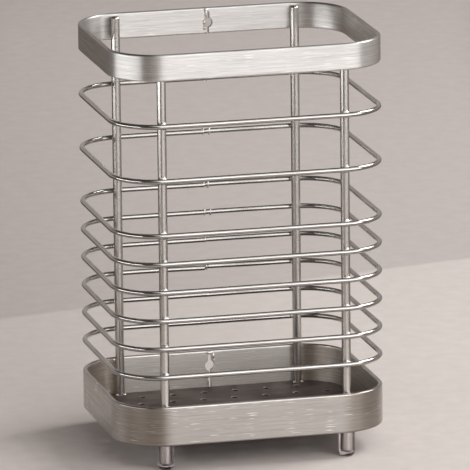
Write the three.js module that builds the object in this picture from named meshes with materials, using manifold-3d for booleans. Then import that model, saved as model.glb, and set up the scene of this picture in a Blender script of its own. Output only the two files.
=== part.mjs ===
import * as THREE from 'three';
import { mergeGeometries, mergeVertices } from 'three/addons/utils/BufferGeometryUtils.js';
import Module from 'manifold-3d';

const wasm = await Module();
wasm.setup();

// Hanging cutlery drainer: a cage of round wires on four posts, held by two flat bands.
// Millimetres, +Z up. The origin is on the floor under the middle of the drainer,
// the front faces -Y and the side that hangs on the wall faces +Y.

// Bands: flat strip bent to a rounded rectangle, its ends meeting in the middle of the back
const bandWidth = 125;
const bandDepth = 96;
const bandCornerRadius = 22.5;
const bandThickness = 2;
const bandChamfer = 0.35;
const topBandHeight = 12.1;
const bottomBandHeight = 18;

// Heights, from the floor up
const bandFloorGap = 11.4; // floor to the bottom band's lower edge
const firstWireRise = 13.35; // bottom band's upper edge to the middle of the lowest wire
const closePitch = 12.9;
const openPitch = 24.8;
const topBandRise = 20.5; // middle of the highest wire to the top band's lower edge
const closePitches = 5;
const openPitches = 2;

// Wires: each is one closed ring, as wide as the bands, that passes outside the posts
const wireDiameter = 2.3;
const wireBendRadius = 20.5; // to the middle of the wire

// Posts: round rod that stands in the corners of both bands
const postDiameter = 4;
const postChamfer = 0.5;
const postTurn = 5.6; // degrees into the band's corner from the end of its long side
const postTopDrop = 1; // top band's upper edge to the top of the post

// Keyholes in the back of both bands: round hole, slot above it, open seam below it
const keyholeDiameter = 4.4;
const keyholeSlotWidth = 1.7;
const keyholeSlotReach = 5.2; // middle of the hole to the top of the slot
const keyholeDrop = 7; // band's upper edge to the middle of the hole
const seamWidth = 1;

// Base plate: punched sheet that closes the bottom band, level with its lower edge
const plateThickness = 1;
const drainDiameter = 3;
const drainPitchX = 14.5;
const drainPitchY = 12.1;
const drainRowShift = 3.3; // sideways, in every other row
const drainMargin = 1.2; // least metal between a drain hole and an edge of the plate

// Foot caps: soft sleeves pushed over the lower ends of the posts
const capWall = 1.5;
const capFloor = 2.1;
const capEdgeRound = 1.9;

// Clearances
const weldGap = 0.2; // between pieces that are welded to each other
const capClearance = 0.2; // round the post inside its cap, and between the cap and the plate
const cutOverrun = 3; // how far a cut runs past what it cuts

// Facets
const bandArcDivisions = 5;
const holeArcDivisions = 6;
const wireSides = 8;
const wireBendSteps = 8;
const roundSides = 16;
const capEdgeSteps = 4;

const quarter = Math.PI / 2;
const wireRadius = wireDiameter / 2;
const postRadius = postDiameter / 2;
const bottomBandBase = bandFloorGap;
const bottomBandTop = bottomBandBase + bottomBandHeight;
const highestWire = bottomBandTop + firstWireRise + closePitches * closePitch + openPitches * openPitch;
const topBandBase = highestWire + topBandRise;
const topBandTop = topBandBase + topBandHeight;

const brushedSteel = { color: 0xb9b4ae, metalness: 0.9, roughness: 0.38 };
const polishedSteel = { color: 0xc4c0bb, metalness: 0.95, roughness: 0.18 };
const punchedSteel = { color: 0x8d8680, metalness: 0.85, roughness: 0.42 };
const clearSilicone = { color: 0xdedbd6, metalness: 0, roughness: 0.2, transparent: true, opacity: 0.55 };

// A closed geometry as a solid that can be cut, and back again
function solidOf(geometry) {
  geometry.deleteAttribute('normal');
  geometry.deleteAttribute('uv');
  const merged = mergeVertices(geometry);
  return new wasm.Manifold(new wasm.Mesh({
    numProp: 3,
    vertProperties: new Float32Array(merged.attributes.position.array),
    triVerts: new Uint32Array(merged.index.array),
  }));
}

function geometryOf(solid) {
  const mesh = solid.getMesh();
  const geometry = new THREE.BufferGeometry();
  geometry.setAttribute('position', new THREE.BufferAttribute(mesh.vertProperties, 3));
  geometry.setIndex(new THREE.BufferAttribute(mesh.triVerts, 1));
  geometry.computeVertexNormals();
  return geometry;
}

function roundedRectangle(path, width, depth, radius) {
  const x = width / 2 - radius;
  const y = depth / 2 - radius;
  path.absarc(x, y, radius, 0, quarter, false);
  path.absarc(-x, y, radius, quarter, 2 * quarter, false);
  path.absarc(-x, -y, radius, 2 * quarter, 3 * quarter, false);
  path.absarc(x, -y, radius, 3 * quarter, 4 * quarter, false);
  path.closePath();
  return path;
}

// A profile turned round the Z axis
function turned(points) {
  return new THREE.LatheGeometry(points, roundSides).rotateX(quarter);
}

// Middle of the back right post: it nests in the inner corner of the bands, and as far in
// as keeps the rings outside it level with the bands
function postPlace() {
  const nest = bandCornerRadius - Math.max(bandThickness, wireDiameter) - weldGap - postRadius;
  const turn = THREE.MathUtils.degToRad(postTurn);
  return {
    x: bandWidth / 2 - bandCornerRadius + nest * Math.sin(turn),
    y: bandDepth / 2 - bandCornerRadius + nest * Math.cos(turn),
  };
}

const post = postPlace();

// The four corners of the cage, with the sign of each one's place along X and Y
const corners = [
  { name: 'front_left', sideX: -1, sideY: -1 },
  { name: 'front_right', sideX: 1, sideY: -1 },
  { name: 'back_left', sideX: -1, sideY: 1 },
  { name: 'back_right', sideX: 1, sideY: 1 },
];

// Keyhole outline round the middle of its hole, with the seam running down past the band's edge
function keyholeShape(bandHeight) {
  const holeRadius = keyholeDiameter / 2;
  const slotHalf = keyholeSlotWidth / 2;
  const seamHalf = seamWidth / 2;
  const slotTurn = Math.asin(slotHalf / holeRadius);
  const seamTurn = Math.asin(seamHalf / holeRadius);
  const seamEnd = keyholeDrop - bandHeight - cutOverrun;
  const shape = new THREE.Shape();
  shape.moveTo(seamHalf, seamEnd);
  shape.absarc(0, 0, holeRadius, -quarter + seamTurn, quarter - slotTurn, false);
  shape.absarc(0, keyholeSlotReach - slotHalf, slotHalf, 0, 2 * quarter, false);
  shape.absarc(0, 0, holeRadius, quarter + slotTurn, 3 * quarter - seamTurn, false);
  shape.lineTo(-seamHalf, seamEnd);
  shape.closePath();
  return shape;
}

function band(height) {
  const outline = roundedRectangle(new THREE.Shape(), bandWidth, bandDepth, bandCornerRadius);
  const innerWidth = bandWidth - 2 * bandThickness;
  const innerDepth = bandDepth - 2 * bandThickness;
  const innerRadius = bandCornerRadius - bandThickness;
  outline.holes.push(roundedRectangle(new THREE.Path(), innerWidth, innerDepth, innerRadius));
  const strip = new THREE.ExtrudeGeometry(outline, {
    depth: height - 2 * bandChamfer,
    bevelThickness: bandChamfer,
    bevelSize: bandChamfer,
    bevelOffset: -bandChamfer,
    bevelSegments: 1,
    curveSegments: bandArcDivisions,
  }).translate(0, 0, bandChamfer);
  const keyhole = new THREE.ExtrudeGeometry(keyholeShape(height), {
    depth: bandThickness + 2 * cutOverrun,
    bevelEnabled: false,
    curveSegments: holeArcDivisions,
  });
  keyhole.rotateX(quarter).translate(0, bandDepth / 2 + cutOverrun, height - keyholeDrop);
  return geometryOf(solidOf(strip).subtract(solidOf(keyhole)));
}

// Half depth of a ring that clears the posts, also where a post stands inside the ring's bend
function wireHalfDepth() {
  const bendX = bandWidth / 2 - wireRadius - wireBendRadius;
  const reach = wireBendRadius - wireRadius - weldGap - postRadius;
  const along = Math.max(0, post.x - bendX);
  return post.y - Math.sqrt(reach * reach - along * along) + wireBendRadius;
}

// A closed ring: four bends and the four straight runs between them
function wireRing() {
  const x = bandWidth / 2 - wireRadius - wireBendRadius;
  const y = wireHalfDepth() - wireBendRadius;
  const pieces = [];
  const bends = [[x, y], [-x, y], [-x, -y], [x, -y]];
  bends.forEach(([bendX, bendY], k) => {
    const bend = new THREE.TorusGeometry(wireBendRadius, wireRadius, wireSides, wireBendSteps, quarter);
    pieces.push(bend.rotateZ(k * quarter).translate(bendX, bendY, 0));
  });
  for (const side of [-1, 1]) {
    const acrossRun = new THREE.CylinderGeometry(wireRadius, wireRadius, 2 * x, wireSides, 1, true);
    const alongRun = new THREE.CylinderGeometry(wireRadius, wireRadius, 2 * y, wireSides, 1, true);
    pieces.push(acrossRun.rotateZ(quarter).translate(0, side * (y + wireBendRadius), 0));
    pieces.push(alongRun.translate(side * (x + wireBendRadius), 0, 0));
  }
  const ring = mergeGeometries(pieces);
  ring.deleteAttribute('normal');
  ring.deleteAttribute('uv');
  return mergeVertices(ring);
}

// Heights of the rings, from the lowest up: close together below, wider apart above
function wireHeights() {
  const heights = [bottomBandTop + firstWireRise];
  for (let k = 0; k < closePitches; k += 1) heights.push(heights.at(-1) + closePitch);
  for (let k = 0; k < openPitches; k += 1) heights.push(heights.at(-1) + openPitch);
  return heights;
}

function rod() {
  const bottom = capFloor + capClearance;
  const top = topBandTop - postTopDrop;
  return turned([
    new THREE.Vector2(0, bottom),
    new THREE.Vector2(postRadius - postChamfer, bottom),
    new THREE.Vector2(postRadius, bottom + postChamfer),
    new THREE.Vector2(postRadius, top - postChamfer),
    new THREE.Vector2(postRadius - postChamfer, top),
    new THREE.Vector2(0, top),
  ]);
}

// Room for a post in the plate: round on the inside and open towards the band
function postNotch() {
  const radius = postRadius + weldGap;
  const shape = new THREE.Shape();
  shape.absarc(0, 0, radius, 2 * quarter, 4 * quarter, false);
  shape.lineTo(radius, radius + cutOverrun);
  shape.lineTo(-radius, radius + cutOverrun);
  shape.closePath();
  return new THREE.ExtrudeGeometry(shape, {
    depth: plateThickness + 2 * cutOverrun,
    bevelEnabled: false,
    curveSegments: holeArcDivisions,
  }).translate(0, 0, -cutOverrun);
}

// True where a drain hole keeps its margin to the plate's rounded outline and to the posts
function drainFits(x, y, width, depth, radius) {
  const room = drainDiameter / 2 + drainMargin;
  const cornerX = Math.max(0, Math.abs(x) - (width / 2 - radius));
  const cornerY = Math.max(0, Math.abs(y) - (depth / 2 - radius));
  const clearOfPost = Math.hypot(Math.abs(x) - post.x, Math.abs(y) - post.y) > room + postRadius + weldGap;
  return Math.hypot(cornerX, cornerY) + room <= radius && clearOfPost;
}

function basePlate() {
  const width = bandWidth - 2 * (bandThickness + weldGap);
  const depth = bandDepth - 2 * (bandThickness + weldGap);
  const radius = bandCornerRadius - bandThickness - weldGap;
  const shape = roundedRectangle(new THREE.Shape(), width, depth, radius);
  const columns = Math.ceil(width / 2 / drainPitchX);
  const rows = Math.ceil(depth / 2 / drainPitchY);
  for (let column = -columns; column < columns; column += 1) {
    for (let row = -rows; row <= rows; row += 1) {
      const x = (column + 1 / 2) * drainPitchX + Math.abs(row % 2) * drainRowShift;
      const y = row * drainPitchY;
      if (drainFits(x, y, width, depth, radius)) {
        shape.holes.push(new THREE.Path().absarc(x, y, drainDiameter / 2, 0, 4 * quarter, false));
      }
    }
  }
  const sheet = new THREE.ExtrudeGeometry(shape, {
    depth: plateThickness,
    bevelEnabled: false,
    curveSegments: holeArcDivisions,
  });
  let plate = solidOf(sheet);
  const turn = THREE.MathUtils.degToRad(postTurn);
  for (const { sideX, sideY } of corners) {
    const notch = postNotch();
    const heading = sideY > 0 ? -sideX * turn : 2 * quarter + sideX * turn;
    notch.rotateZ(heading).translate(sideX * post.x, sideY * post.y, 0);
    plate = plate.subtract(solidOf(notch));
  }
  return geometryOf(plate);
}

// Soft cap with a bore for the post, a rounded lower edge and a flat to stand on
function footCap() {
  const bore = postRadius + capClearance;
  const outer = bore + capWall;
  const top = bandFloorGap - capClearance;
  const points = [new THREE.Vector2(0, 0)];
  for (let k = 0; k <= capEdgeSteps; k += 1) {
    const turn = (k / capEdgeSteps) * quarter;
    const x = outer - capEdgeRound + capEdgeRound * Math.sin(turn);
    points.push(new THREE.Vector2(x, capEdgeRound * (1 - Math.cos(turn))));
  }
  points.push(new THREE.Vector2(outer, top));
  points.push(new THREE.Vector2(bore, top));
  points.push(new THREE.Vector2(bore, capFloor));
  points.push(new THREE.Vector2(0, capFloor));
  return turned(points);
}

function piece(name, geometry, finish) {
  const mesh = new THREE.Mesh(geometry, new THREE.MeshStandardMaterial(finish));
  mesh.name = name;
  return mesh;
}

const drainer = new THREE.Group();

const topBand = piece('top_band', band(topBandHeight), brushedSteel);
topBand.position.z = topBandBase;
const bottomBand = piece('bottom_band', band(bottomBandHeight), brushedSteel);
bottomBand.position.z = bottomBandBase;
const plate = piece('base_plate', basePlate(), punchedSteel);
plate.position.z = bottomBandBase;
drainer.add(topBand, bottomBand, plate);

for (const { name, sideX, sideY } of corners) {
  const standing = new THREE.Group();
  standing.position.set(sideX * post.x, sideY * post.y, 0);
  standing.add(piece(`post_${name}`, rod(), polishedSteel));
  standing.add(piece(`foot_cap_${name}`, footCap(), clearSilicone));
  drainer.add(standing);
}

wireHeights().forEach((height, k) => {
  const ring = piece(`wire_ring_${k + 1}`, wireRing(), polishedSteel);
  ring.position.z = height;
  drainer.add(ring);
});

export default drainer;
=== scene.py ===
import math

import bmesh
import bpy
from mathutils import Matrix, Vector, noise


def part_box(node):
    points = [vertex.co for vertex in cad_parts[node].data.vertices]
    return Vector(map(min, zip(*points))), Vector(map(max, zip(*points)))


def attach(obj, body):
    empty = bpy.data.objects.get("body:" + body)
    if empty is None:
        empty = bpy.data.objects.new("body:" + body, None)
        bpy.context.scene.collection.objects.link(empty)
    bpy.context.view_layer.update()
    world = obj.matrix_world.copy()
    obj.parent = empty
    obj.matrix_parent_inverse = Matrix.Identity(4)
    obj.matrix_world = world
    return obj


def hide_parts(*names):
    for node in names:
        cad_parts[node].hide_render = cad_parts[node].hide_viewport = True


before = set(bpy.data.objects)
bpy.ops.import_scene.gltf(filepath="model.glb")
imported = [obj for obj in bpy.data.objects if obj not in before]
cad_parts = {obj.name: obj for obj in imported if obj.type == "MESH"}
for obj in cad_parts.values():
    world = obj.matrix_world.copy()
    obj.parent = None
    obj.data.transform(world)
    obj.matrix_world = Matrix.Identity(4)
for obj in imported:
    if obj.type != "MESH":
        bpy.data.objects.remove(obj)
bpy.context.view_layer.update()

# Hanging cutlery drainer in stainless steel: two brushed bands, eight wire rings,
# four posts, a punched plate and clear caps on the feet.
# Sizes are written in millimetres and turned to metres by mm.
mm = 0.001
quarterTurn = math.pi / 2
mergeWithin = 0.001 * mm   # points this close are one point
mapName = "alongPiece"     # the map that streaks and tangents read
smearAcross = 0.25         # a quarter turn from the map's length, so light smears across the streaks
print("frame loaded,", len(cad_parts), "nodes")


def linearColour(hexColour):
    channels = [int(hexColour[k:k + 2], 16) / 255 for k in (1, 3, 5)]
    linear = [c / 12.92 if c <= 0.04045 else ((c + 0.055) / 1.055) ** 2.4 for c in channels]
    return (*linear, 1.0)


def addNode(tree, kind, inputs=None, **settings):
    node = tree.nodes.new(kind)
    for name, value in settings.items():
        setattr(node, name, value)
    for name, value in (inputs or {}).items():
        if isinstance(value, bpy.types.NodeSocket):
            tree.links.new(value, node.inputs[name])
        else:
            node.inputs[name].default_value = value
    return node


def newMaterial(name):
    material = bpy.data.materials.new(name)
    material.use_nodes = True
    material.node_tree.nodes.clear()
    return material, material.node_tree


def finishMaterial(tree, shader):
    addNode(tree, "ShaderNodeOutputMaterial", {"Surface": shader.outputs[0]})


# streaks that run along the piece's own map: first their length, then their width, in mm
def streaks(tree, lengthMm, widthMm, detail=2.0, seed=0.0):
    place = addNode(tree, "ShaderNodeUVMap", uv_map=mapName)
    scaled = addNode(tree, "ShaderNodeVectorMath", {
        0: place.outputs[0], 1: (1 / (lengthMm * mm), 1 / (widthMm * mm), 1)}, operation="MULTIPLY")
    moved = addNode(tree, "ShaderNodeVectorMath", {
        0: scaled.outputs[0], 1: (seed, seed * 1.7, seed * 0.3)}, operation="ADD")
    return addNode(tree, "ShaderNodeTexNoise", {
        "Vector": moved.outputs[0], "Scale": 1.0, "Detail": detail, "Roughness": 0.55},
        noise_dimensions="2D").outputs["Fac"]


# mottling in the space of the object, by the size of its blotches in mm
def mottle(tree, sizeMm, detail=2.0):
    place = addNode(tree, "ShaderNodeTexCoord")
    return addNode(tree, "ShaderNodeTexNoise", {
        "Vector": place.outputs["Object"], "Scale": 1 / (sizeMm * mm), "Detail": detail,
        "Roughness": 0.55}).outputs["Fac"]


# the skin of a steel from one pattern: where the pattern is high, the steel is paler and glossier
def steelSkin(tree, pattern, values):
    start, end = values["patternRange"]
    share = addNode(tree, "ShaderNodeMapRange", {"Value": pattern, "From Min": start, "From Max": end})
    colour = addNode(tree, "ShaderNodeMix", {
        0: share.outputs[0], 6: linearColour(values["low"]), 7: linearColour(values["high"])},
        data_type="RGBA")
    rough = addNode(tree, "ShaderNodeMapRange", {
        "Value": share.outputs[0], "To Min": values["roughHigh"], "To Max": values["roughLow"]})
    return colour.outputs[2], rough.outputs[0]


# Stainless steel 304 strip, brushed along its length with a belt: hairlines along the strip,
# so light smears across it from edge to edge, and the sides turn dark or bright as a whole
upperBandValues = {
    "low": "#BBB9B6", "high": "#DBD9D7", "nick": "#ECEAE8", "patternRange": (0.34, 0.66),
    "hairLength": 18.0, "hairWidth": 0.28,      # real hairlines are near 0.05 mm, drawn as wide as they show
    "scoreLength": 70.0, "scoreWidth": 1.3, "scoreShare": 0.35,
    "nickLength": 9.0, "nickWidth": 0.33, "nickRange": (0.78, 0.86),      # short bright scratches
    "roughLow": 0.36, "roughHigh": 0.44, "anisotropic": 0.72,
    "bumpStrength": 0.25, "bumpDepth": 0.0015,
    # where the strip's inner side lies across its map, and how much paler it is painted, as painted light on
    # the inner side
    "insideFrom": 8.6, "insideTo": 19.6, "insideBlur": 0.5, "insidePaintedLight": 1.1,
    # from where to where the bends begin, and how dark and how warm the painted shade on their outer side is:
    # a painted reflection of the shaded floor
    "bendX": (37.5, 45.5), "bendY": (34.0, 41.0), "bendPaintedShade": 1.0, "bendShadeTint": 1.0,
    "rimFrom": 188.7, "rimBlur": 0.3, "rimPaintedShade": 0.66,      # painted shade: the upper edge is painted darker
}

# The lower band's strip is painted darker and warmer than the upper one, as painted shade for the shade low
# down
shadedLowerBandValues = {
    **upperBandValues,
    # painted shade: darker, warmer colours than the upper band's
    "low": "#A39F9B", "high": "#BDB9B5", "nick": "#EFECE8",
    "roughLow": 0.28, "roughHigh": 0.35, "anisotropic": 0.6,
    "insideFrom": 11.6, "insideTo": 28.4, "insidePaintedLight": 1.75,
    "bendPaintedShade": 0.66, "bendShadeTint": 2.0, "rimFrom": 28.7, "rimPaintedShade": 1.0,
}


# painted light and shade on a band: how much brighter it is painted inside, how much darker and warmer
# outside its bends, and how much darker on its upper edge
def bandPaintedLight(tree, values):
    middle = (values["insideFrom"] + values["insideTo"]) / 2 * mm
    half, blur = (values["insideTo"] - values["insideFrom"]) / 2 * mm, values["insideBlur"] * mm
    ownMap = addNode(tree, "ShaderNodeUVMap", uv_map=mapName)
    across = addNode(tree, "ShaderNodeSeparateXYZ", {0: ownMap.outputs[0]}).outputs["Y"]
    off = addNode(tree, "ShaderNodeMath", {0: across, 1: middle}, operation="SUBTRACT").outputs[0]
    away = addNode(tree, "ShaderNodeMath", {0: off}, operation="ABSOLUTE").outputs[0]
    place = addNode(tree, "ShaderNodeTexCoord").outputs["Object"]
    fromMiddle = addNode(tree, "ShaderNodeVectorMath", {0: place}, operation="ABSOLUTE").outputs[0]
    axes = addNode(tree, "ShaderNodeSeparateXYZ", {0: fromMiddle})
    sides = []
    for axis in ("X", "Y"):
        start, end = values["bend" + axis]
        sides.append(addNode(tree, "ShaderNodeMapRange", {
            "Value": axes.outputs[axis], "From Min": start * mm, "From Max": end * mm},
            interpolation_type="SMOOTHSTEP").outputs[0])
    bend = addNode(tree, "ShaderNodeMath", {0: sides[0], 1: sides[1]}, operation="MULTIPLY").outputs[0]
    outside = addNode(tree, "ShaderNodeMapRange", {
        "Value": bend, "To Min": 1.0, "To Max": values["bendPaintedShade"]})
    body = addNode(tree, "ShaderNodeMapRange", {
        "Value": away, "From Min": half + blur, "From Max": half - blur,
        "To Min": outside.outputs[0], "To Max": values["insidePaintedLight"]})
    rim = addNode(tree, "ShaderNodeMapRange", {
        "Value": axes.outputs["Z"], "From Min": values["rimFrom"] * mm,
        "From Max": (values["rimFrom"] + values["rimBlur"]) * mm, "To Min": 1.0, "To Max": values["rimPaintedShade"]})
    tone = addNode(tree, "ShaderNodeMath", {0: body.outputs[0], 1: rim.outputs[0]}, operation="MULTIPLY")
    tint = addNode(tree, "ShaderNodeMapRange", {
        "Value": bend, "To Min": 1.0, "To Max": values["bendShadeTint"]})
    return tone.outputs[0], tint.outputs[0]


def brushedSteel(name, values):
    material, tree = newMaterial(name)
    hair = streaks(tree, values["hairLength"], values["hairWidth"], 3.0)
    score = streaks(tree, values["scoreLength"], values["scoreWidth"], 2.0, 7.3)
    nick = streaks(tree, values["nickLength"], values["nickWidth"], 0.0, 15.1)
    both = addNode(tree, "ShaderNodeMix", {0: values["scoreShare"], 2: hair, 3: score})
    steel, rough = steelSkin(tree, both.outputs[0], values)
    scratched = addNode(tree, "ShaderNodeMapRange", {
        "Value": nick, "From Min": values["nickRange"][0], "From Max": values["nickRange"][1]})
    colour = addNode(tree, "ShaderNodeMix", {
        0: scratched.outputs[0], 6: steel, 7: linearColour(values["nick"])}, data_type="RGBA")
    # painted light and shade: the inside painted brighter, the bends and upper edge painted darker
    tone, tint = bandPaintedLight(tree, values)
    toned = addNode(tree, "ShaderNodeHueSaturation", {
        "Color": colour.outputs[2], "Value": tone, "Saturation": tint})
    bump = addNode(tree, "ShaderNodeBump", {
        "Height": hair, "Strength": values["bumpStrength"], "Distance": values["bumpDepth"] * mm})
    tangent = addNode(tree, "ShaderNodeTangent", direction_type="UV_MAP", uv_map=mapName)
    shader = addNode(tree, "ShaderNodeBsdfPrincipled", {
        "Base Color": toned.outputs[0], "Metallic": 1.0, "Roughness": rough,
        "Anisotropic": values["anisotropic"], "Anisotropic Rotation": smearAcross,
        "Tangent": tangent.outputs[0], "Normal": bump.outputs[0]})
    finishMaterial(tree, shader)
    return material


# Stainless steel wire, cold drawn and tumbled bright: near mirror, with faint draw lines
wireValues = {
    "low": "#A5A29F", "high": "#B8B5B2", "edge": "#FFFFFF", "patternRange": (0.36, 0.64),
    "lineLength": 30.0, "lineWidth": 0.5, "cloud": 12.0, "cloudShare": 0.5,
    "roughLow": 0.14, "roughHigh": 0.2, "anisotropic": 0.3,
}

# The posts' rod, cold drawn and then ground round and round: light smears up and down it
rodValues = {
    **wireValues,
    "low": "#CECBC8", "high": "#DAD7D4", "edge": "#8E8A86",
    "lineLength": 3.0, "lineWidth": 60.0, "cloud": 30.0,
    "roughLow": 0.2, "roughHigh": 0.22, "anisotropic": 0.8,
}


def polishedSteel(name, values):
    material, tree = newMaterial(name)
    line = streaks(tree, values["lineLength"], values["lineWidth"], 2.0, 3.1)
    cloud = mottle(tree, values["cloud"])
    both = addNode(tree, "ShaderNodeMix", {0: values["cloudShare"], 2: line, 3: cloud})
    colour, rough = steelSkin(tree, both.outputs[0], values)
    tangent = addNode(tree, "ShaderNodeTangent", direction_type="UV_MAP", uv_map=mapName)
    shader = addNode(tree, "ShaderNodeBsdfPrincipled", {
        "Base Color": colour, "Metallic": 1.0, "Roughness": rough,
        "Anisotropic": values["anisotropic"], "Anisotropic Rotation": smearAcross,
        "Tangent": tangent.outputs[0], "Specular Tint": linearColour(values["edge"])})
    finishMaterial(tree, shader)
    return material


# Spot and fusion welds in stainless steel, tumbled with the rest: lumpy, a little duller, straw tint
weldValues = {
    "low": "#D0C9C3", "high": "#F4F1ED", "patternRange": (0.35, 0.65), "roughLow": 0.3, "roughHigh": 0.5,
    "grain": 0.7, "grainStrength": 0.4, "grainDepth": 0.05,
}


def weldSteel(name, values):
    material, tree = newMaterial(name)
    grain = mottle(tree, values["grain"], 3.0)
    colour, rough = steelSkin(tree, grain, values)
    bump = addNode(tree, "ShaderNodeBump", {
        "Height": grain, "Strength": values["grainStrength"], "Distance": values["grainDepth"] * mm})
    shader = addNode(tree, "ShaderNodeBsdfPrincipled", {
        "Base Color": colour, "Metallic": 1.0, "Roughness": rough, "Normal": bump.outputs[0]})
    finishMaterial(tree, shader)
    return material


# Stainless steel sheet, rolled and punched: matt mill skin, faint rolling lines across, dull, and painted
# dark as painted shade for the shade inside the bands
shadedSheetValues = {
    # painted shade: these colours are much darker than the bare steel
    "low": "#4F4541", "high": "#6B615C", "patternRange": (0.36, 0.64), "roughLow": 0.62, "roughHigh": 0.72,
    "lineLength": 40.0, "lineWidth": 0.8, "cloud": 14.0, "cloudShare": 0.5,
    # the punch burnishes the rims of the holes, where the skin leans off level but isn't a wall yet
    "edge": "#A19993", "leaning": (0.97, 0.85), "wall": (0.15, 0.4),
}


def rolledSheet(name, values):
    material, tree = newMaterial(name)
    place = addNode(tree, "ShaderNodeTexCoord")
    scaled = addNode(tree, "ShaderNodeVectorMath", {
        0: place.outputs["Object"], 1: (1 / (values["lineLength"] * mm), 1 / (values["lineWidth"] * mm), 1)},
        operation="MULTIPLY")
    line = addNode(tree, "ShaderNodeTexNoise", {"Vector": scaled.outputs[0], "Scale": 1.0, "Detail": 2.0})
    cloud = mottle(tree, values["cloud"])
    both = addNode(tree, "ShaderNodeMix", {0: values["cloudShare"], 2: line.outputs["Fac"], 3: cloud})
    colour, rough = steelSkin(tree, both.outputs[0], values)
    facing = addNode(tree, "ShaderNodeNewGeometry").outputs["Normal"]
    up = addNode(tree, "ShaderNodeSeparateXYZ", {0: facing}).outputs["Z"]
    masks = [addNode(tree, "ShaderNodeMapRange", {"Value": up, "From Min": start, "From Max": end}).outputs[0]
             for start, end in (values["leaning"], values["wall"])]
    rim = addNode(tree, "ShaderNodeMath", {0: masks[0], 1: masks[1]}, operation="MULTIPLY")
    burnished = addNode(tree, "ShaderNodeMix", {
        0: rim.outputs[0], 6: colour, 7: linearColour(values["edge"])}, data_type="RGBA")
    shader = addNode(tree, "ShaderNodeBsdfPrincipled", {
        "Base Color": burnished.outputs[2], "Metallic": 1.0, "Roughness": rough})
    finishMaterial(tree, shader)
    return material


# Clear silicone rubber, moulded: see-through with a satin skin that blurs what is behind it a little
siliconeValues = {
    "colour": "#E9E3E6", "ior": 1.41, "roughLow": 0.12, "roughHigh": 0.22, "cloud": 2.0,
    "patternRange": (0.35, 0.65),
}


def clearSilicone(name, values):
    material, tree = newMaterial(name)
    start, end = values["patternRange"]
    rough = addNode(tree, "ShaderNodeMapRange", {
        "Value": mottle(tree, values["cloud"]), "From Min": start, "From Max": end,
        "To Min": values["roughLow"], "To Max": values["roughHigh"]})
    shader = addNode(tree, "ShaderNodeBsdfPrincipled", {
        "Base Color": linearColour(values["colour"]), "IOR": values["ior"],
        "Roughness": rough.outputs[0], "Transmission Weight": 1.0})
    finishMaterial(tree, shader)
    return material


upperBandSteel = brushedSteel("brushedUpperBand", upperBandValues)
shadedLowerBandSteel = brushedSteel("brushedLowerBandPaintedShade", shadedLowerBandValues)
drawnWireSteel = polishedSteel("drawnBrightWire", wireValues)
postSteel = polishedSteel("groundRod", rodValues)
weldBeadSteel = weldSteel("tumbledWeld", weldValues)
shadedPunchedSheetSteel = rolledSheet("rolledPunchedSheetPaintedShade", shadedSheetValues)
footSilicone = clearSilicone("mouldedClearSilicone", siliconeValues)
print("materials made")


# How shapes are finished: the angles from which an edge is shaded sharp, or is rounded after a cut,
# the slivers that are cleared before and after that rounding, and how long a cutter is, as a multiple
# of the thickness that it cuts
finishValues = {
    "shadeSharpFrom": 38.0, "roundFrom": 50.0, "sliver": 0.04, "lastSliver": 0.002, "cutterLength": 6,
}


def linkedObject(name, bm):
    mesh = bpy.data.meshes.new(name)
    bm.to_mesh(mesh)
    bm.free()
    made = bpy.data.objects.new(name, mesh)
    bpy.context.scene.collection.objects.link(made)
    return made


def makePiece(name, bm, material, replaced=()):
    piece = linkedObject(name, bm)
    piece.data.materials.append(material)
    piece.data.shade_smooth()
    piece.data.set_sharp_from_angle(angle=math.radians(finishValues["shadeSharpFrom"]))
    piece.modifiers.new("evenShading", "WEIGHTED_NORMAL").keep_sharp = True
    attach(piece, "root")
    if replaced:
        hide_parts(*replaced)


# a closed round bar about a point, upright unless it is turned
def addBar(bm, centre, radius, length, sides, turned=Matrix.Identity(4)):
    bmesh.ops.create_cone(bm, cap_ends=True, segments=sides, radius1=radius, radius2=radius, depth=length,
                          matrix=Matrix.Translation(centre) @ turned)


# moves an open section on in steps, straight or round a corner, and gives its last place
def carry(bm, section, steps, angle=0.0, centre=(0, 0, 0), travel=(0, 0, 0)):
    return bmesh.ops.spin(bm, geom=section, cent=centre, axis=(0, 0, 1), dvec=Vector(travel) / steps,
                          angle=angle, steps=steps, use_merge=False, use_duplicate=False)["geom_last"]


# carries a section once round a rounded rectangle, clockwise from the middle of its back
def carryRound(bm, section, halfX, halfY, radius, cornerSteps, runSteps):
    runX, runY = halfX - radius, halfY - radius
    short = min(1.0 * mm, runX / 4, runY / 4)      # a short step next to each bend keeps the runs flat
    legs = [((1, 0), runX, (1, 1)), ((0, -1), 2 * runY, (1, -1)), ((-1, 0), 2 * runX, (-1, -1)),
            ((0, 1), 2 * runY, (-1, 1)), ((1, 0), runX, None)]
    for (stepX, stepY), length, corner in legs:
        for part, steps in ((short, 1), (length - 2 * short, runSteps), (short, 1)):
            section = carry(bm, section, steps, travel=(stepX * part, stepY * part, 0))
        if corner:
            section = carry(bm, section, cornerSteps, angle=-quarterTurn,
                            centre=(corner[0] * runX, corner[1] * runY, 0))
    bmesh.ops.remove_doubles(bm, verts=bm.verts, dist=mergeWithin)
    bmesh.ops.recalc_face_normals(bm, faces=bm.faces)


# where a point lies along the middle line of a rounded rectangle, clockwise from the middle of its back,
# how far outside that line it is, and how long the line is
def placeRound(point, halfX, halfY, radius):
    runX, runY = halfX - radius, halfY - radius
    whole = 4 * (runX + runY) + 2 * math.pi * radius
    overX, overY = max(0.0, abs(point.x) - runX), max(0.0, abs(point.y) - runY)
    reach = min(abs(point.x), runX) + radius * math.atan2(overX, overY) + runY - min(abs(point.y), runY)
    along = reach if point.y >= 0 else whole / 2 - reach
    along = along if point.x >= 0 else whole - along
    return along, math.hypot(overX, overY) - radius, whole


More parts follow.
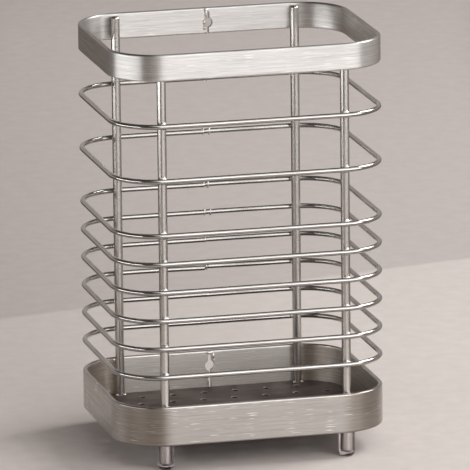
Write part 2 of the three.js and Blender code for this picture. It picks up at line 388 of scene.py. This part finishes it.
# writes the map that streaks and tangents read: along the piece and across it, in metres
def mapPiece(bm, placeOf, wholeAlong, wholeAcross):
    layer = bm.loops.layers.uv.new(mapName)
    for face in bm.faces:
        middle = placeOf(face.calc_center_median())
        for loop in face.loops:
            along, across = placeOf(loop.vert.co)
            along += wholeAlong * round((middle[0] - along) / wholeAlong)
            across += wholeAcross * round((middle[1] - across) / wholeAcross)
            loop[layer].uv = (along, across)


# cuts shapes out of another, one after the other, and rounds the new edges
def cutAway(bm, tools, edgeRound, edgeSteps):
    body, *cutters = [linkedObject("cutting", shape) for shape in (bm, *tools)]
    for cutter in cutters:
        cut = body.modifiers.new("cut", "BOOLEAN")
        cut.object = cutter
        cut.operation = "DIFFERENCE"
        cut.solver = "EXACT"
    bpy.context.view_layer.update()
    done = bmesh.new()
    done.from_object(body, bpy.context.evaluated_depsgraph_get())
    for used in (body, *cutters):
        mesh = used.data
        bpy.data.objects.remove(used)
        bpy.data.meshes.remove(mesh)
    bmesh.ops.dissolve_degenerate(done, dist=finishValues["sliver"] * mm, edges=done.edges)
    sharp = math.radians(finishValues["roundFrom"])
    rims = [edge for edge in done.edges if len(edge.link_faces) == 2 and edge.calc_face_angle() > sharp]
    bmesh.ops.bevel(done, geom=rims, offset=edgeRound, offset_type="OFFSET", segments=edgeSteps, profile=0.5,
                    affect="EDGES", material=-1, clamp_overlap=False)
    bmesh.ops.dissolve_degenerate(done, dist=finishValues["lastSliver"] * mm, edges=done.edges)
    return done


# Bands
bandValues = {
    "cornerRadius": 22.5, "thickness": 2.0, "cornerSteps": 28, "runSteps": 2,
    "edgeRound": 0.85, "edgeSteps": 6,
    # the keyhole: its round hole hangs below the band's upper edge, and its slot reaches up from there
    "holeDiameter": 4.4, "holeDrop": 7.0, "slotWidth": 1.7, "slotReach": 5.2,
    "holeSides": 32, "slotSides": 16, "seamWidth": 0.9, "cutRound": 0.24, "cutRoundSteps": 3,
    # the strip's ends, each with half the keyhole, meet a little to the right of the middle
    "seamDrift": {"top_band": 1.8, "bottom_band": 1.1},
}


def bandStrip(node, values):
    low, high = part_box(node)
    thickness, radius = values["thickness"] * mm, (values["cornerRadius"] - values["thickness"] / 2) * mm
    height, middle = high.z - low.z, (high.z + low.z) / 2
    halfX, halfY = high.x - thickness / 2, high.y - thickness / 2
    bm = bmesh.new()
    section = (Matrix.Translation((0, halfY, middle)) @ Matrix.Rotation(quarterTurn, 4, "Y")
               @ Matrix.Diagonal((height / 2, thickness / 2, 1, 1)))
    bmesh.ops.create_grid(bm, x_segments=1, y_segments=1, size=1, matrix=section)
    bmesh.ops.bevel(bm, geom=bm.verts[:], offset=values["edgeRound"] * mm, offset_type="OFFSET",
                    segments=values["edgeSteps"], profile=0.5, affect="VERTICES", material=-1)
    bmesh.ops.delete(bm, geom=bm.faces[:], context="FACES_ONLY")
    carryRound(bm, bm.verts[:] + bm.edges[:], halfX, halfY, radius, values["cornerSteps"], values["runSteps"])

    hole, deep = values["holeDiameter"] / 2 * mm, finishValues["cutterLength"] * thickness
    drift = values["seamDrift"][node] * mm
    holeZ = high.z - values["holeDrop"] * mm
    slot, seam = values["slotWidth"] * mm, values["seamWidth"] * mm
    slotTop = values["slotReach"] * mm - slot / 2
    tools = [bmesh.new() for _ in range(4)]
    lying = Matrix.Rotation(quarterTurn, 4, "X")
    addBar(tools[0], (drift, halfY, holeZ), hole, deep, values["holeSides"], lying)
    addBar(tools[1], (drift, halfY, holeZ + slotTop), slot / 2, deep, values["slotSides"], lying)
    for tool, width, bottom, top in ((tools[2], slot, 0, slotTop), (tools[3], seam, -height, 0)):
        block = (Matrix.Translation((drift, halfY, holeZ + (bottom + top) / 2))
                 @ Matrix.Diagonal((width, deep, top - bottom, 1)))
        bmesh.ops.create_cube(tool, size=1, matrix=block)
    bm = cutAway(bm, tools, values["cutRound"] * mm, values["cutRoundSteps"])

    def placeOf(point):
        along, out, _ = placeRound(point, halfX, halfY, radius)
        up = point.z - middle
        if point.y > 0 and abs(point.x - drift) < 2 * hole:
            along += out      # the walls of the cuts need some length on the map too
        if abs(up) - height / 2 > abs(out) - thickness / 2:
            return along, math.copysign(height / 2 + thickness / 2 - out, up)
        return along, up if out > 0 else height + thickness - up

    whole = placeRound(Vector((0, halfY, 0)), halfX, halfY, radius)[2]
    mapPiece(bm, placeOf, whole, 2 * (height + thickness))
    return bm


makePiece("topBand", bandStrip("top_band", bandValues), upperBandSteel, ["top_band"])
makePiece("bottomBand", bandStrip("bottom_band", bandValues), shadedLowerBandSteel, ["bottom_band"])
print("bands made")


# Rings
ringValues = {
    "wireDiameter": 2.3, "bendRadius": 20.5, "sides": 20, "bendSteps": 20, "runSteps": 4,
    "wobble": 0.12, "wobbleSize": 45.0,      # how far the wire strays from true, and over what length
    # how far the ends miss each other where they meet, lowest ring first, and from where they bend there
    "stepAtJoint": [0.1, -0.1, 0.8, 0.15, 0.15, 0.3, 0.2, 0.1], "stepLength": 26.0,
}
ringNumbers = range(1, len(ringValues["stepAtJoint"]) + 1)


def ringWire(number, values):
    low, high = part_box(f"wire_ring_{number}")
    wire, radius = values["wireDiameter"] / 2 * mm, values["bendRadius"] * mm
    middle = (low.z + high.z) / 2
    halfX, halfY = high.x - wire, high.y - wire
    bm = bmesh.new()
    section = Matrix.Translation((0, halfY, middle)) @ Matrix.Rotation(quarterTurn, 4, "Y")
    bmesh.ops.create_circle(bm, cap_ends=False, segments=values["sides"], radius=wire, matrix=section)
    carryRound(bm, bm.verts[:] + bm.edges[:], halfX, halfY, radius, values["bendSteps"], values["runSteps"])

    def placeOf(point):
        along, out, _ = placeRound(point, halfX, halfY, radius)
        return along, math.atan2(point.z - middle, out) * wire

    whole = placeRound(Vector((0, halfY, 0)), halfX, halfY, radius)[2]
    mapPiece(bm, placeOf, whole, 2 * math.pi * wire)
    step = values["stepAtJoint"][number - 1] / 2 * mm
    for vert in bm.verts:
        stray = noise.noise(Vector((vert.co.x, vert.co.y, number * 1.3)) / (values["wobbleSize"] * mm))
        near = max(0.0, 1 - abs(vert.co.x) / (values["stepLength"] * mm)) if vert.co.y > 0 else 0.0
        vert.co.z += stray * values["wobble"] * mm + math.copysign(near, vert.co.x) * step
    return bm


for number in ringNumbers:
    makePiece(f"wireRing_{number}", ringWire(number, ringValues), drawnWireSteel,
              [f"wire_ring_{number}"])
print("rings made")


# Posts
postValues = {"sides": 40, "endRound": 0.8, "endSteps": 5}
# 1 is the side of the wall
postSides = {"front_left": -1, "front_right": -1, "back_left": 1, "back_right": 1}


# where a post stands, its radius, and how high its top is
def postPlace(corner):
    low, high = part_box(f"post_{corner}")
    return (low.x + high.x) / 2, (low.y + high.y) / 2, (high.y - low.y) / 2, high.z


def postRod(corner, values):
    low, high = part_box(f"post_{corner}")
    centre, radius = (low + high) / 2, (high.x - low.x) / 2
    bm = bmesh.new()
    addBar(bm, centre, radius, high.z - low.z, values["sides"])
    rims = [edge for edge in bm.edges if abs(edge.verts[0].co.z - edge.verts[1].co.z) < mergeWithin]
    bmesh.ops.bevel(bm, geom=rims, offset=values["endRound"] * mm, offset_type="OFFSET",
                    segments=values["endSteps"], profile=0.5, affect="EDGES", material=-1)

    def placeOf(point):
        return math.atan2(point.y - centre.y, point.x - centre.x) * radius, point.z

    # the map goes round the post, as the grinding does, and is far higher than the post, so it never wraps
    mapPiece(bm, placeOf, 2 * math.pi * radius, 10.0)
    return bm


for corner in postSides:
    makePiece(f"post_{corner}_rod", postRod(corner, postValues), postSteel,
              [f"post_{corner}"])
print("posts made")


# Base plate
plateValues = {
    "cornerRadius": 20.3, "cornerSteps": 24,
    # drain holes in staggered rows, kept clear of the plate's edge and of the posts
    "holeDiameter": 3.0, "pitchX": 14.5, "pitchY": 12.1, "rowShift": 3.3, "halfColumns": 5, "halfRows": 3,
    "edgeMargin": 1.2, "postMargin": 2.2, "holeSides": 32, "cutRound": 0.3, "cutRoundSteps": 3,
    # notches for the posts, and how far out their mouths lie, as a share of the diameter
    "notchDiameter": 4.4, "mouthShare": 0.46,
}


def punchedPlate(values):
    low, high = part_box("base_plate")
    thickness, middle, bend = high.z - low.z, (high.z + low.z) / 2, values["cornerRadius"] * mm
    bm = bmesh.new()
    bmesh.ops.create_grid(bm, x_segments=1, y_segments=1, size=1,
                          matrix=Matrix.Translation((0, 0, low.z)) @ Matrix.Diagonal((high.x, high.y, 1, 1)))
    bmesh.ops.bevel(bm, geom=bm.verts[:], offset=bend, offset_type="OFFSET", segments=values["cornerSteps"],
                    profile=0.5, affect="VERTICES", material=-1)
    raised = bmesh.ops.extrude_face_region(bm, geom=bm.faces[:])["geom"]
    upper = [item for item in raised if isinstance(item, bmesh.types.BMVert)]
    bmesh.ops.translate(bm, verts=upper, vec=(0, 0, thickness))
    bmesh.ops.recalc_face_normals(bm, faces=bm.faces)

    hole, notch = values["holeDiameter"] / 2 * mm, values["notchDiameter"] / 2 * mm
    deep = finishValues["cutterLength"] * thickness
    room = (values["holeDiameter"] / 2 + values["edgeMargin"]) * mm
    postX, postY, *_ = postPlace("back_right")
    holes, notches, mouths = [], [], []
    for column in range(-values["halfColumns"], values["halfColumns"]):
        for row in range(-values["halfRows"], values["halfRows"] + 1):
            x = ((column + 0.5) * values["pitchX"] + row % 2 * values["rowShift"]) * mm
            y = row * values["pitchY"] * mm
            overX, overY = max(0.0, abs(x) - (high.x - bend)), max(0.0, abs(y) - (high.y - bend))
            away = math.hypot(abs(x) - postX, abs(y) - postY)
            if math.hypot(overX, overY) + room <= bend and away > room + values["postMargin"] * mm:
                holes.append((x, y, hole))
    for corner, side in postSides.items():
        x, y, *_ = postPlace(corner)
        notches.append((x, y, notch))
        mouths.append((x, y + side * values["notchDiameter"] * values["mouthShare"] * mm, notch))
    tools = []
    for places in (holes, notches, mouths):
        tools.append(bmesh.new())
        for x, y, radius in places:
            addBar(tools[-1], (x, y, middle), radius, deep, values["holeSides"])
    return cutAway(bm, tools, values["cutRound"] * mm, values["cutRoundSteps"])


makePiece("punchedPlate", punchedPlate(plateValues), shadedPunchedSheetSteel, ["base_plate"])
print("plate made")


# Foot caps
capValues = {
    "bore": 3.9, "boreFloor": 2.2, "turnSteps": 48,
    "tipRound": 2.2, "tipSteps": 10, "lipRound": 0.3, "lipSteps": 4,
}


def footCap(corner, values):
    low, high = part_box(f"foot_cap_{corner}")
    centre, outer = (low + high) / 2, (high.x - low.x) / 2
    bore, floor = values["bore"] / 2 * mm, values["boreFloor"] * mm
    profile = [(0, 0), (outer, 0), (outer, high.z), (bore, high.z), (bore, floor), (0, floor)]
    bm = bmesh.new()
    verts = [bm.verts.new((centre.x + x, centre.y, z)) for x, z in profile]
    for k in range(len(verts) - 1):
        bm.edges.new((verts[k], verts[k + 1]))
    for vert, part in ((verts[1], "tip"), (verts[2], "lip"), (verts[3], "lip")):
        bmesh.ops.bevel(bm, geom=[vert], offset=values[part + "Round"] * mm, offset_type="OFFSET",
                        segments=values[part + "Steps"], profile=0.5, affect="VERTICES", material=-1)
    bmesh.ops.spin(bm, geom=bm.verts[:] + bm.edges[:], cent=(centre.x, centre.y, 0), axis=(0, 0, 1),
                   angle=4 * quarterTurn, steps=values["turnSteps"], use_merge=True, use_duplicate=False,
                   dvec=(0, 0, 0))
    bmesh.ops.remove_doubles(bm, verts=bm.verts, dist=mergeWithin)
    bmesh.ops.recalc_face_normals(bm, faces=bm.faces)
    return bm


for corner in postSides:
    makePiece(f"cap_{corner}_clear", footCap(corner, capValues), footSilicone,
              [f"foot_cap_{corner}"])
print("caps made")


# Welds: where rings cross posts, where posts stand in the bands and on the plate, where the rings' ends meet,
# and the tacks that close the bands' seams. Beads are given as width, depth and height.
weldBeads = {
    "lump": 0.22, "halfGap": 0.1,      # how uneven a bead is, and half the gap between welded solids
    "ring": (3.6, 1.7, 3.5),
    "band": (2.6, 1.4, 1.6), "bandAside": 1.25, "bandSunk": 0.25, "bandInset": (0.9, 1.0), "overPlate": 3.0,
    "foot": (1.5, 1.5, 0.9), "footAside": 0.8, "footInwards": 0.6, "footRise": 0.2,
    # tacks on each band's seam: how far right of the keyhole, how far over its middle, how wide, how high
    "seamSunk": 1.9, "seamDepth": 1.5,
    "seam": {
        "top_band": [(-0.6, 6.0, 2.2, 1.6), (-0.7, 4.1, 1.5, 4.2), (-1.6, 0.3, 1.7, 2.2),
                     (-1.5, -2.3, 1.6, 1.8), (-0.8, -4.0, 0.8, 2.4)],
        "bottom_band": [(-0.2, 6.0, 3.0, 1.5), (1.6, 4.4, 1.4, 3.0), (1.8, 2.2, 1.2, 1.8),
                        (-0.9, -7.6, 0.8, 4.2), (-2.2, -5.6, 2.4, 0.9)],
    },
    # each ring's own beads, lowest ring first: how far off the middle of the back, how long, how thick
    "jointDepth": 2.2,      # they don't stand out behind the ring
    "joint": [
        [(0.3, 1.0, 2.7)],
        [(0.6, 1.0, 2.7)],
        [(0.2, 0.9, 2.8)],
        [(-0.3, 0.9, 2.9)],
        [(-0.4, 1.2, 3.4), (2.2, 1.5, 3.4)],
        [(-0.6, 0.8, 2.9), (1.2, 1.6, 3.5)],
        [(-0.9, 1.3, 3.4), (2.1, 1.6, 3.5)],
        [(-0.8, 1.2, 2.9), (1.1, 1.4, 2.9)],
    ],
}


# one lumpy bead: an ellipsoid with its skin moved in and out, in a way of its own for each seed
def addBead(bm, centre, size, seed, lump):
    made = bmesh.ops.create_icosphere(bm, subdivisions=3, radius=1.0)["verts"]
    for vert in made:
        swell = 1 + lump * noise.noise(vert.co * 1.7 + Vector((seed, seed * 0.37, 0)))
        vert.co = Vector(centre) + Vector([vert.co[k] * size[k] / 2 * mm * swell for k in range(3)])


def ringWelds(number, values):
    low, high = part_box(f"wire_ring_{number}")
    wire, middle = high.z - low.z, (low.z + high.z) / 2
    bm = bmesh.new()
    for k, (corner, side) in enumerate(postSides.items()):
        y = side * (high.y - wire - values["halfGap"] * mm)
        addBead(bm, (postPlace(corner)[0], y, middle), values["ring"], number * 3.1 + k * 1.9, values["lump"])
    for along, length, thick in values["joint"][number - 1]:
        size = (length, min(thick, values["jointDepth"]), thick)
        addBead(bm, (along * mm, high.y - wire / 2, middle), size, number * 2.3 + along, values["lump"] / 2)
    return bm


def frameWelds(values):
    bm = bmesh.new()
    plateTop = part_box("base_plate")[1].z
    for k, (corner, side) in enumerate(postSides.items()):
        x, y, radius, postTop = postPlace(corner)
        reach = radius + values["halfGap"] * mm
        for m, band in enumerate(("top_band", "bottom_band")):
            low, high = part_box(band)
            levels = (low.z + values["bandInset"][0] * mm, high.z - values["bandInset"][1] * mm)
            for n, z in enumerate(levels):
                if plateTop + values["overPlate"] * mm < z < postTop:
                    sunk = y + side * (reach - values["bandSunk"] * mm)
                    for hand in (-1, 1):
                        addBead(bm, (x + hand * values["bandAside"] * mm, sunk, z), values["band"],
                                k * 4.7 + m * 2.9 + n * 1.3 + hand, values["lump"])
        for hand in (-1, 1):
            at = (x + hand * reach * values["footAside"], y - side * reach * values["footInwards"],
                  plateTop + values["footRise"] * mm)
            addBead(bm, at, values["foot"], k * 5.3 + hand, values["lump"])
    return bm


def seamTacks(band, values):
    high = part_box(band)[1]
    drift, drop = bandValues["seamDrift"][band], bandValues["holeDrop"]
    bm = bmesh.new()
    for k, (x, z, width, tall) in enumerate(values["seam"][band]):
        addBead(bm, ((drift + x) * mm, high.y - values["seamSunk"] * mm, high.z + (z - drop) * mm),
                (width, values["seamDepth"], tall), 1.7 + k * 2.1, values["lump"])
    return bm


for number in ringNumbers:
    makePiece(f"ringWelds_{number}", ringWelds(number, weldBeads), weldBeadSteel)
makePiece("frameWelds", frameWelds(weldBeads), weldBeadSteel)
makePiece("topBandTack", seamTacks("top_band", weldBeads), weldBeadSteel)
makePiece("bottomBandTack", seamTacks("bottom_band", weldBeads), weldBeadSteel)
print("welds made")


# Floor, which turns into a backdrop beyond a straight line behind the object
stageValues = {
    "size": 6.0,      # metres, from the middle to each side
    "floorLeft": "#C2B9B4", "floorRight": "#D3CAC5", "wallLeft": "#C4BAB6", "wallRight": "#D3C9C5",
    "fadeLeft": -110.0, "fadeRight": 160.0,      # between these the left colours turn into the right ones: painted light, darker on the left and brighter on the right
    "lineX": -53.0, "lineY": 245.0, "lineSlope": 0.219, "lineBlur": 3.0,
    "wallFoot": 0.82, "wallTop": 1.02, "climb": 600.0,      # painted light: the backdrop is painted brighter over this length
    # outside the picture the floor is in shade, which the steel mirrors
    "nearShade": "#675A49", "farShade": "#8C8480", "shadeEdge": (120.0, 240.0), "farEdge": (240.0, 600.0),
    "lookTurn": -14.14,      # the shade lies this way off the line that the picture looks along
    "cloud": 8.0, "patternRange": (0.3, 0.7), "cloudTone": (0.96, 1.04), "rough": 0.75, "ior": 1.45,
}


def paleStone(name, values):
    material, tree = newMaterial(name)
    place = addNode(tree, "ShaderNodeTexCoord").outputs["Object"]
    axes = addNode(tree, "ShaderNodeSeparateXYZ", {0: place})
    # painted light: the floor and backdrop are painted darker to the left and brighter to the right
    across = addNode(tree, "ShaderNodeMapRange", {
        "Value": axes.outputs["X"],
        "From Min": values["fadeLeft"] * mm, "From Max": values["fadeRight"] * mm},
        interpolation_type="SMOOTHSTEP").outputs[0]
    floor, wall = [addNode(tree, "ShaderNodeMix", {
        0: across, 6: linearColour(values[part + "Left"]), 7: linearColour(values[part + "Right"])},
        data_type="RGBA").outputs[2] for part in ("floor", "wall")]

    # the backdrop, and its line
    line = addNode(tree, "ShaderNodeMath", {
        0: axes.outputs["X"], 1: -values["lineSlope"], 2: axes.outputs["Y"]},
        operation="MULTIPLY_ADD").outputs[0]
    start, blur = (values["lineY"] - values["lineSlope"] * values["lineX"]) * mm, values["lineBlur"] * mm
    # painted light: the backdrop is painted darker at its foot and brighter further back
    climb = addNode(tree, "ShaderNodeMapRange", {
        "Value": line, "From Min": start, "From Max": start + values["climb"] * mm,
        "To Min": values["wallFoot"], "To Max": values["wallTop"]})
    raised = addNode(tree, "ShaderNodeHueSaturation", {"Color": wall, "Value": climb.outputs[0]})
    behind = addNode(tree, "ShaderNodeMapRange", {
        "Value": line, "From Min": start - blur, "From Max": start + blur}, interpolation_type="SMOOTHSTEP")
    lit = addNode(tree, "ShaderNodeMix", {
        0: behind.outputs[0], 6: floor, 7: raised.outputs[0]}, data_type="RGBA").outputs[2]

    # the shade on both sides
    turn = math.radians(values["lookTurn"])
    aside = addNode(tree, "ShaderNodeVectorMath", {0: place, 1: (math.cos(turn), math.sin(turn), 0)},
                    operation="DOT_PRODUCT").outputs["Value"]
    far = addNode(tree, "ShaderNodeMath", {0: aside}, operation="ABSOLUTE").outputs[0]
    shaded, distant = [addNode(tree, "ShaderNodeMapRange", {
        "Value": far, "From Min": inner * mm, "From Max": outer * mm},
        interpolation_type="SMOOTHSTEP").outputs[0]
        for inner, outer in (values["shadeEdge"], values["farEdge"])]
    shade = addNode(tree, "ShaderNodeMix", {
        0: distant, 6: linearColour(values["nearShade"]), 7: linearColour(values["farShade"])},
        data_type="RGBA").outputs[2]
    ground = addNode(tree, "ShaderNodeMix", {0: shaded, 6: lit, 7: shade}, data_type="RGBA").outputs[2]

    cloud = addNode(tree, "ShaderNodeMapRange", {
        "Value": mottle(tree, values["cloud"], 4.0),
        "From Min": values["patternRange"][0], "From Max": values["patternRange"][1],
        "To Min": values["cloudTone"][0], "To Max": values["cloudTone"][1]})
    speckled = addNode(tree, "ShaderNodeHueSaturation", {"Color": ground, "Value": cloud.outputs[0]})
    shader = addNode(tree, "ShaderNodeBsdfPrincipled", {
        "Base Color": speckled.outputs[0], "Roughness": values["rough"], "IOR": values["ior"]})
    finishMaterial(tree, shader)
    return material


floorMesh = bmesh.new()
bmesh.ops.create_grid(floorMesh, x_segments=1, y_segments=1, size=stageValues["size"])
floorObject = linkedObject("floor", floorMesh)
floorObject.data.materials.append(paleStone("paleStoneFloor", stageValues))

# Camera, where the photograph's stood
cameraValues = {
    "azimuth": -14.14, "elevation": 13.49, "roll": -0.59, "distance": 3354.64, "target": (0, 0, 100),
    "slideRight": 2.0, "slideUp": -5.51, "focalPixels": 7465.9, "picturePixels": 470, "sensor": 36.0,
    "clipNear": 0.1, "clipFar": 50,      # metres
}


# the way from the object to a point around it, the azimuth running from the front towards the right
def aimFrom(azimuth, elevation):
    a, e = math.radians(azimuth), math.radians(elevation)
    return Vector((math.sin(a) * math.cos(e), -math.cos(a) * math.cos(e), math.sin(e)))


def placeCamera(values):
    back = aimFrom(values["azimuth"], values["elevation"])
    azimuth, roll = math.radians(values["azimuth"]), math.radians(values["roll"])
    right = Vector((math.cos(azimuth), math.sin(azimuth), 0))
    up = back.cross(right)
    right, up = right * math.cos(roll) + up * math.sin(roll), up * math.cos(roll) - right * math.sin(roll)
    slide = right * values["slideRight"] + up * values["slideUp"]
    stand = (Vector(values["target"]) + back * values["distance"] + slide) * mm
    data = bpy.data.cameras.new("photoCamera")
    data.sensor_width = values["sensor"]
    data.lens = values["sensor"] * values["focalPixels"] / values["picturePixels"]
    data.clip_start, data.clip_end = values["clipNear"], values["clipFar"]
    camera = bpy.data.objects.new("photoCamera", data)
    bpy.context.scene.collection.objects.link(camera)
    camera.matrix_world = Matrix((
        (right.x, up.x, back.x, stand.x), (right.y, up.y, back.y, stand.y), (right.z, up.z, back.z, stand.z),
        (0, 0, 0, 1)))
    bpy.context.scene.camera = camera


placeCamera(cameraValues)

# Soft boxes, in metres: height from the floor and distance from the middle of the drainer, which they face.
# A box of brightness 1 looks white.
lampAim = Vector((0, 0, 0.1))
lampValues = [
    {"name": "frontBox", "azimuth": 27, "height": 0.5, "distance": 1.6,
     "wide": 1.85, "high": 1.0, "bright": 3.0},
    {"name": "upperBox", "azimuth": 24, "height": 1.4, "distance": 1.1,
     "wide": 1.7, "high": 1.4, "bright": 1.35},
    {"name": "leftBox", "azimuth": -77, "height": 0.14, "distance": 0.4,
     "wide": 0.48, "high": 0.06, "bright": 6.4},
    {"name": "keyBox", "azimuth": 98, "height": 1.2, "distance": 1.15,
     "wide": 0.7, "high": 0.7, "bright": 12.7},
]


def placeLamp(values):
    data = bpy.data.lights.new(values["name"], "AREA")
    data.shape = "RECTANGLE"
    data.size, data.size_y = values["wide"], values["high"]
    data.energy = math.pi * values["wide"] * values["high"] * values["bright"]
    lamp = bpy.data.objects.new(values["name"], data)
    bpy.context.scene.collection.objects.link(lamp)
    stand = aimFrom(values["azimuth"], 0) * values["distance"] + Vector((0, 0, values["height"]))
    lamp.location = stand
    lamp.rotation_euler = (stand - lampAim).to_track_quat("Z", "Y").to_euler()
    lamp.visible_camera = False


for lampRow in lampValues:
    placeLamp(lampRow)

# The room that the steel mirrors: pale all round, but in shade towards the front left and above.
# Each shade begins between the two numbers of its edge: 0 is sideways or level, 1 straight towards it.
roomValues = {
    "pale": "#BDB5B1", "front": "#5C5653", "ceiling": "#57524F", "strength": 1.0,
    "frontLook": -40.0, "frontEdge": (0.0, 0.5), "ceilingEdge": (0.3, 0.6),
}


def roomWorld(values):
    world = bpy.data.worlds.new("paleRoom")
    bpy.context.scene.world = world
    world.use_nodes = True
    tree = world.node_tree
    tree.nodes.clear()
    look = addNode(tree, "ShaderNodeTexCoord").outputs["Generated"]
    toFront = addNode(tree, "ShaderNodeVectorMath", {0: look, 1: aimFrom(values["frontLook"], 0)},
                      operation="DOT_PRODUCT").outputs["Value"]
    toCeiling = addNode(tree, "ShaderNodeSeparateXYZ", {0: look}).outputs["Z"]
    colour = linearColour(values["pale"])
    for part, reach in (("front", toFront), ("ceiling", toCeiling)):
        start, end = values[part + "Edge"]
        share = addNode(tree, "ShaderNodeMapRange", {"Value": reach, "From Min": start, "From Max": end},
                        interpolation_type="SMOOTHSTEP")
        colour = addNode(tree, "ShaderNodeMix", {
            0: share.outputs[0], 6: colour, 7: linearColour(values[part])}, data_type="RGBA").outputs[2]
    background = addNode(tree, "ShaderNodeBackground", {"Color": colour, "Strength": values["strength"]})
    addNode(tree, "ShaderNodeOutputWorld", {"Surface": background.outputs[0]})


roomWorld(roomValues)

bpy.context.scene.view_settings.view_transform = "Standard"
print("stage, camera and lamps set")
